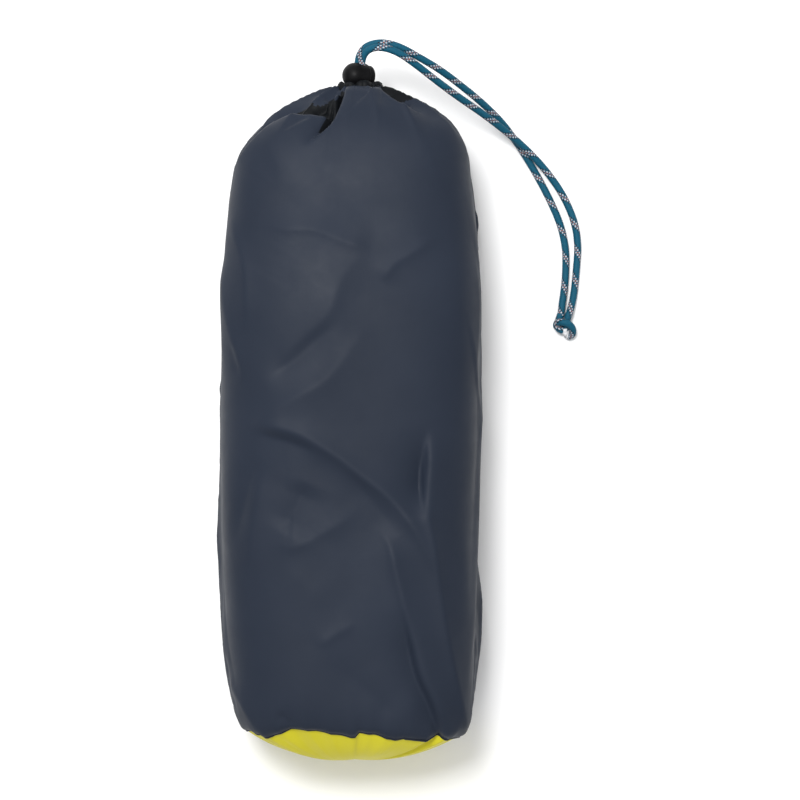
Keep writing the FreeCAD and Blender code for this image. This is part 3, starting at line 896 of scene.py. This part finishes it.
def clear_of_lock(points):
    """Moves points out of the hollow that the cord lock sits in."""
    rest = points - LOCK_CENTRE
    depth = np.clip(rest @ LOCK_AXIS, 0.0, LOCK_LENGTH)
    core = LOCK_CENTRE + depth[..., None] * LOCK_AXIS
    away = points - core
    distance = np.linalg.norm(away, axis=-1, keepdims=True)
    pushed = core + away * (LOCK_NEST_RADIUS / np.maximum(distance, 1e-6))
    return np.where(distance < LOCK_NEST_RADIUS, pushed, points)


def build_hem():
    """The gathered hem: pleats that roll from the skin's end over a rim and into the neck."""
    random = np.random.default_rng(SEED + 2)
    columns = 384
    angle = np.linspace(-0.5 * math.pi, 1.5 * math.pi, columns, endpoint=False)
    pleats = -gather_pleats(angle, random, 7)
    ruffle = -gather_pleats(angle, random, 17)
    # radius, y, and how strong the pleats are, from under the skin's edge to the middle
    profile = evenly([
        (11.6, 163.0, 0.2),
        (12.0, 167.0, 0.6),
        (11.4, 169.8, 1.0),
        (11.0, 171.6, 1.1),
        (9.8, 172.9, 1.1),
        (8.2, 172.0, 1.1),
        (6.4, 169.4, 1.0),
        (4.2, 167.6, 0.8),
        (1.4, 167.0, 0.3),
    ], 90)
    radius = profile[:, :1] * (1.0 + 0.06 * profile[:, 2:] * pleats + 0.02 * profile[:, 2:] * ruffle)
    points = np.empty((len(profile), columns, 3))
    points[..., 0] = HEM_X + radius * np.cos(angle)
    points[..., 1] = profile[:, 1:2] + 0.5 * profile[:, 2:] * pleats
    points[..., 2] = NECK_Z + radius * np.sin(angle)
    # The hem's near-black cloth is partly painted shade of the hollow neck.
    hem = grid_piece("hem_gathers", clear_of_lock(points), HEM_CLOTH_AND_PAINTED_SHADE)
    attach(hem, "sack")
    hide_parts("hem_channel")


# ---------------------------------------------------------------- cord

def route_line(name, route, count):
    """Evenly spaced points on the smooth line that a route controls."""
    curve = bpy.data.curves.new(name + "_line", "CURVE")
    curve.dimensions = "3D"
    spline = curve.splines.new("NURBS")
    spline.points.add(len(route) - 1)
    for point, place in zip(spline.points, route):
        point.co = (*(MM * c for c in place), 1.0)
    spline.order_u = 3
    spline.use_endpoint_u = True
    spline.resolution_u = 24
    holder = bpy.data.objects.new(name + "_line", curve)
    bpy.context.scene.collection.objects.link(holder)
    line = bpy.data.meshes.new_from_object(holder)
    places = np.empty(3 * len(line.vertices))
    line.vertices.foreach_get("co", places)
    bpy.data.objects.remove(holder)
    bpy.data.curves.remove(curve)
    bpy.data.meshes.remove(line)
    dense = places.reshape(-1, 3) / MM
    travelled = np.concatenate([[0.0], np.cumsum(np.linalg.norm(np.diff(dense, axis=0), axis=1))])
    wanted = np.linspace(0.0, travelled[-1], count)
    return np.stack([np.interp(wanted, travelled, dense[:, k]) for k in range(3)], axis=1), travelled[-1]


BRAID_CARRIERS = 12
BRAID_PITCH = 15.5
BRAID_RELIEF = 0.14
# Yarn of each carrier that winds one way: 0 teal, 1 white, 2 black, 3 red. The others are all teal.
TRACERS = np.array([2, 1, 3, 1, 2] + [0] * 7)


def braid_cells(turn, travelled, phase):
    """Where a point of the braid is in its two sets of carriers, and whether the tracers' set is on top."""
    advance = travelled * BRAID_CARRIERS / BRAID_PITCH
    tracer = advance - BRAID_CARRIERS * turn + phase
    plain = advance + BRAID_CARRIERS * turn + phase
    return tracer, plain, (np.floor(tracer) + np.floor(plain)) % 2 < 0.5


def braided_tube(name, path, phase):
    """A braided sheath: raised yarns that pass over and under each other, coloured by carrier."""
    around = 48
    length = np.linalg.norm(np.diff(path, axis=0), axis=1).sum()
    travelled = np.linspace(0.0, length, len(path))[:, None]
    turn = (np.arange(around) / around)[None, :]
    tracer, plain, on_top = braid_cells(turn, travelled, phase)
    across = np.where(on_top, tracer, plain) % 1.0
    onward = np.where(on_top, plain, tracer) % 1.0
    pillow = np.sin(math.pi * across) ** 0.7 * (0.55 + 0.45 * np.sin(math.pi * onward))
    radius = 0.5 * CORD - BRAID_RELIEF + 1.25 * BRAID_RELIEF * pillow
    points = tube_points(path, radius, around)
    sheath = joined_piece(name, [points], TEAL_YARN)
    for extra in (WHITE_YARN, BLACK_YARN, RED_YARN):
        sheath.data.materials.append(extra)
    middle_turn = turn + 0.5 / around
    tracer, _, on_top = braid_cells(middle_turn, 0.5 * (travelled[1:] + travelled[:-1]), phase)
    yarns = np.where(on_top, TRACERS[np.floor(tracer).astype(int) % BRAID_CARRIERS], 0).ravel()
    sheath.data.polygons.foreach_set("material_index", np.concatenate([yarns, [0, 0]]))
    return sheath


def build_strand(name, route, node, phase):
    """One free strand of the drawcord."""
    _, length = route_line(name, route, 2)
    path, _ = route_line(name, route, int(length / CORD_STEP))
    strand = braided_tube(name, path, phase)
    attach(strand, "sack")
    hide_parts(node)


def build_knot():
    """The overhand knot: a band across the front, and both strands going in behind it."""
    tubes = []
    for limb, phase in zip(KNOT_LIMBS, KNOT_PHASES):
        path = evenly(limb, 90)
        path[:, 2] = np.maximum(path[:, 2], FLOOR_LINE + 0.05)
        tubes.append(braided_tube("knot_limb", path, phase))
    knot = tubes[0]
    with bpy.context.temp_override(active_object=knot, selected_editable_objects=tubes):
        bpy.ops.object.join()
    knot.name = "knot_wraps"
    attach(knot, "sack")
    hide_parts("tail_knot")
    return knot


def build_frayed_end(name, node, start, heading, random):
    """A cut end: a short stub of core with loose white fibres."""
    start = np.array(start)
    heading = unit(np.array(heading))
    aside = unit(np.cross(heading, [0.1, 0.2, 1.0]))
    above = np.cross(aside, heading)
    tubes = []
    stub = np.array([start + heading * reach for reach in (-0.8, 0.0, 0.9, 1.6)])
    tubes.append(tube_points(stub, np.array([1.3, 1.25, 1.0, 0.4])[:, None], 16))
    for _ in range(FRAYED_FIBRES):
        ring = CORE_RADIUS * math.sqrt(random.random())
        turn = random.uniform(0, 2 * math.pi)
        out = aside * math.cos(turn) + above * math.sin(turn)
        root = start + out * ring * 0.8
        reach = random.uniform(1.8, 3.4)
        lean = out * ring * random.uniform(0.15, 0.45) + aside * random.uniform(-0.5, 0.5)
        line = np.array([root + heading * reach * f + lean * f * f for f in np.linspace(0.0, 1.0, 6)])
        line[:, 2] = np.maximum(line[:, 2], 0.3)
        tubes.append(tube_points(line, FIBRE_RADIUS * np.linspace(1.2, 0.5, 6)[:, None], 5))
    end = joined_piece(name, tubes, CORE_FIBRE)
    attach(end, "sack")
    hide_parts(node)
    return end


def build_cord():
    """Both strands, their knot and their cut ends."""
    random = np.random.default_rng(SEED + 3)
    knot = build_knot()
    left_end = build_frayed_end("frayed_end_left", "cord_end_left",
                                (114.7, 43.2, 5.4), (0.1, -1.0, -0.45), random)
    right_end = build_frayed_end("frayed_end_right", "cord_end_right",
                                 (115.9, 41.9, 3.6), (0.2, -1.0, -0.3), random)
    build_strand("cord_strand_left", LEFT_ROUTE, "drawcord_strand_left", 0.3)
    build_strand("cord_strand_right", RIGHT_ROUTE, "drawcord_strand_right", 4.1)


# ---------------------------------------------------------------- carried-over CAD parts, stage, camera

def finish_cad_nodes():
    """Materials for the CAD parts that stay in sight."""
    finishes = {
        "lock_housing": BLACK_PLASTIC,
        "lock_plunger": BLACK_PLASTIC,
        "lock_spring": STEEL,
        "mouth_eyelet": BLACK_PLASTIC,
        "drawcord_neck_loop": TEAL_YARN,
    }
    for node, material in finishes.items():
        for material_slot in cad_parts[node].material_slots:
            material_slot.material = material


# Each light's name, place in metres, width in metres and power in watts.
LIGHTS = [
    ("key_light", (-0.3, 0.62, 2.1), 0.6, 36.0),
    ("fill_light", (-0.9, 1.5, 1.5), 1.4, 10.0),
]
LIGHT_TARGET = (0.0, 0.0, 0.04)
HORIZON_GLOW = 0.3
ZENITH_GLOW = 1.0
FLOOR_REACH = 3000.0


def add_area_light(name, place, size, power):
    """A soft square light that points at the sack."""
    light = bpy.data.lights.new(name, "AREA")
    light.shape = "SQUARE"
    light.size = size
    light.energy = power
    holder = bpy.data.objects.new(name, light)
    holder.location = place
    holder.rotation_euler = (Vector(LIGHT_TARGET) - Vector(place)).to_track_quat("-Z", "Y").to_euler()
    bpy.context.scene.collection.objects.link(holder)


def build_stage():
    """The plain pale floor, the soft studio lights and the white surround."""
    material, tree, shader = new_material("floor_paint", (0.93, 0.93, 0.93), 0.9)
    place = tree.nodes.new("ShaderNodeTexCoord")
    speck = noise(tree, place.outputs["Object"], 30.0, 2.0, 0.5)
    speckled = colour_between(tree, speck, (0.93, 0.93, 0.93), (0.94, 0.94, 0.94))
    tree.links.new(speckled, shader.inputs["Base Color"])
    far = FLOOR_REACH
    corners = [(-far, -far, 0), (far, -far, 0), (far, far, 0), (-far, far, 0)]
    floor = mesh_piece("floor", corners, [(0, 1, 2, 3)], material, smooth=False)
    for light in LIGHTS:
        add_area_light(*light)
    build_surround()
    bpy.context.scene.view_settings.view_transform = "Standard"


def build_surround():
    """A white surround, dim at the horizon and bright overhead."""
    world = bpy.data.worlds.new("studio")
    world.use_nodes = True
    sky = world.node_tree
    direction = sky.nodes.new("ShaderNodeTexCoord")
    split = sky.nodes.new("ShaderNodeSeparateXYZ")
    sky.links.new(direction.outputs["Generated"], split.inputs["Vector"])
    glow = mapped(sky, split.outputs["Z"], 0.0, 1.0, HORIZON_GLOW, ZENITH_GLOW)
    sky.links.new(glow, sky.nodes["Background"].inputs["Strength"])
    sky.nodes["Background"].inputs["Color"].default_value = (1.0, 1.0, 1.0, 1.0)
    bpy.context.scene.world = world


def build_camera():
    """The camera, straight above and looking down."""
    lens = bpy.data.cameras.new("camera")
    lens.sensor_width = SENSOR_MM
    lens.lens = SENSOR_MM * CAMERA_HEIGHT / VIEW_WIDTH
    holder = bpy.data.objects.new("camera", lens)
    holder.location = (CAMERA_X, CAMERA_Y, CAMERA_HEIGHT)
    bpy.context.scene.collection.objects.link(holder)
    bpy.context.scene.camera = holder


build_camera()
build_stage()
build_cord()
SURFACE, PAINTED_SHADE = skin_surface()
NORMALS = grid_normals(SURFACE)
build_skin(SURFACE, PAINTED_SHADE)
build_base(SURFACE)
build_base_seam(SURFACE)
build_base_stitching(SURFACE, NORMALS)
build_side_seam(SURFACE, NORMALS)
build_load()
build_hem()
finish_cad_nodes()
